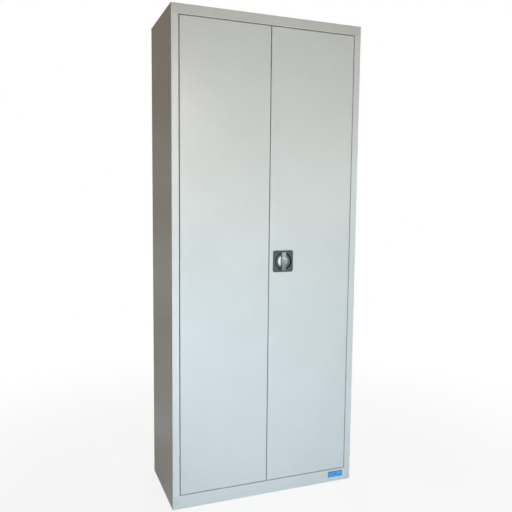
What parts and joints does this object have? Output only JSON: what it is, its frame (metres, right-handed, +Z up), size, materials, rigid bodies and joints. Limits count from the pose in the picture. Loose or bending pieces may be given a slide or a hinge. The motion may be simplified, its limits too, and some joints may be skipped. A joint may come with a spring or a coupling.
{
  "type": "tool cabinet",
  "caption": "Tall sheet-steel tool cabinet: flush hinged doors, shelves on slotted uprights, and a turn handle that throws rods and a side bolt by rack and pinion.",
  "frame": {"origin": "on the floor, in the middle of the carcass's footprint", "axes": "+Z up, the doors face -Y, +X to the right of someone who looks at the doors"},
  "size_m": [0.8, 0.3838, 1.95],
  "materials": {
    "powder_coat": "light grey powder coat, smooth satin",
    "zinc_plate": "zinc plated sheet steel",
    "bright_steel": "bright turned steel",
    "gear_steel": "sintered steel, satin",
    "charcoal_rose": "charcoal plastic, fine grain",
    "dark_disc": "near-black plastic, satin",
    "grip_plastic": "mid grey plastic, half gloss",
    "cylinder_chrome": "polished",
    "buffer_rubber": "matt black"
  },
  "bodies": {
    "carcass": {"left_side_panel": "powder_coat", "right_side_panel": "powder_coat", "top_panel": "powder_coat", "base_panel": "powder_coat", "back_panel": "powder_coat", "left_front_upright": "powder_coat", "left_rear_upright": "powder_coat", "right_front_upright": "powder_coat", "right_rear_upright": "powder_coat", "door_buffers": "buffer_rubber", "left_frame_hinge_leaves": "zinc_plate", "right_frame_hinge_leaves": "zinc_plate", "left_hinge_pins": "bright_steel", "right_hinge_pins": "bright_steel", "shelf_1": "powder_coat", "shelf_clips_1": "zinc_plate", "shelf_2": "powder_coat", "shelf_clips_2": "zinc_plate", "shelf_3": "powder_coat", "shelf_clips_3": "zinc_plate", "shelf_4": "powder_coat", "shelf_clips_4": "zinc_plate"},
    "left_door": {"left_door_panel": "powder_coat", "left_door_stiffener": "powder_coat", "left_door_hinge_leaves": "zinc_plate", "left_bolt_guides": "zinc_plate"},
    "left_upper_bolt": {"left_upper_bolt_bar": "zinc_plate", "left_upper_bolt_knob": "bright_steel"},
    "left_lower_bolt": {"left_lower_bolt_bar": "zinc_plate", "left_lower_bolt_knob": "bright_steel"},
    "right_door": {"right_door_panel": "powder_coat", "right_door_stiffener": "powder_coat", "right_door_hinge_leaves": "zinc_plate", "rod_guides": "zinc_plate", "lock_rose": "charcoal_rose", "lock_base_plate": "zinc_plate", "lock_cover": "zinc_plate", "rose_screws": "bright_steel", "cover_screws": "bright_steel"},
    "lock_handle": {"handle_disc": "dark_disc", "handle_grip": "grip_plastic", "lock_cylinder": "cylinder_chrome", "handle_spindle": "bright_steel", "rack_pinion": "gear_steel", "spindle_washer": "bright_steel", "retaining_screw": "bright_steel"},
    "lock_plug": {"cylinder_plug": "cylinder_chrome", "plug_cam": "gear_steel"},
    "upper_rod": {"upper_rod": "zinc_plate"},
    "lower_rod": {"lower_rod": "zinc_plate"},
    "side_bolt": {"side_bolt": "zinc_plate"}
  },
  "joints": [
    {"name": "left_door_swing", "type": "hinge", "parent": "carcass", "child": "left_door", "pos_m": [-0.36229, -0.179, 0.9835], "axis": [0, 0, -1], "range_deg": [0, 110]},
    {"name": "right_door_swing", "type": "hinge", "parent": "carcass", "child": "right_door", "pos_m": [0.36229, -0.179, 0.9835], "axis": [0, 0, 1], "range_deg": [0, 110]},
    {"name": "handle_turn", "type": "hinge", "parent": "right_door", "child": "lock_handle", "pos_m": [0.0615, -0.185, 0.9835], "axis": [0, 1, 0], "range_deg": [0, 90]},
    {"name": "key_turn", "type": "hinge", "parent": "lock_handle", "child": "lock_plug", "pos_m": [0.0615, -0.185, 0.9955], "axis": [0, 1, 0], "range_deg": [0, 90]},
    {"name": "upper_rod_slide", "type": "slide", "parent": "right_door", "child": "upper_rod", "axis": [0, 0, 1], "range_m": [0, 0.01885]},
    {"name": "lower_rod_slide", "type": "slide", "parent": "right_door", "child": "lower_rod", "axis": [0, 0, -1], "range_m": [0, 0.0189]},
    {"name": "side_bolt_slide", "type": "slide", "parent": "right_door", "child": "side_bolt", "axis": [-1, 0, 0], "range_m": [0, 0.0189]},
    {"name": "left_upper_bolt_slide", "type": "slide", "parent": "left_door", "child": "left_upper_bolt", "axis": [0, 0, 1], "range_m": [0, 0.02]},
    {"name": "left_lower_bolt_slide", "type": "slide", "parent": "left_door", "child": "left_lower_bolt", "axis": [0, 0, -1], "range_m": [0, 0.02]}
  ],
  "couplings": [
    {"joint": "handle_turn", "follows": "upper_rod_slide", "rad_per_m": 83.333},
    {"joint": "lower_rod_slide", "follows": "upper_rod_slide", "ratio": 1},
    {"joint": "side_bolt_slide", "follows": "upper_rod_slide", "ratio": 1}
  ]
}
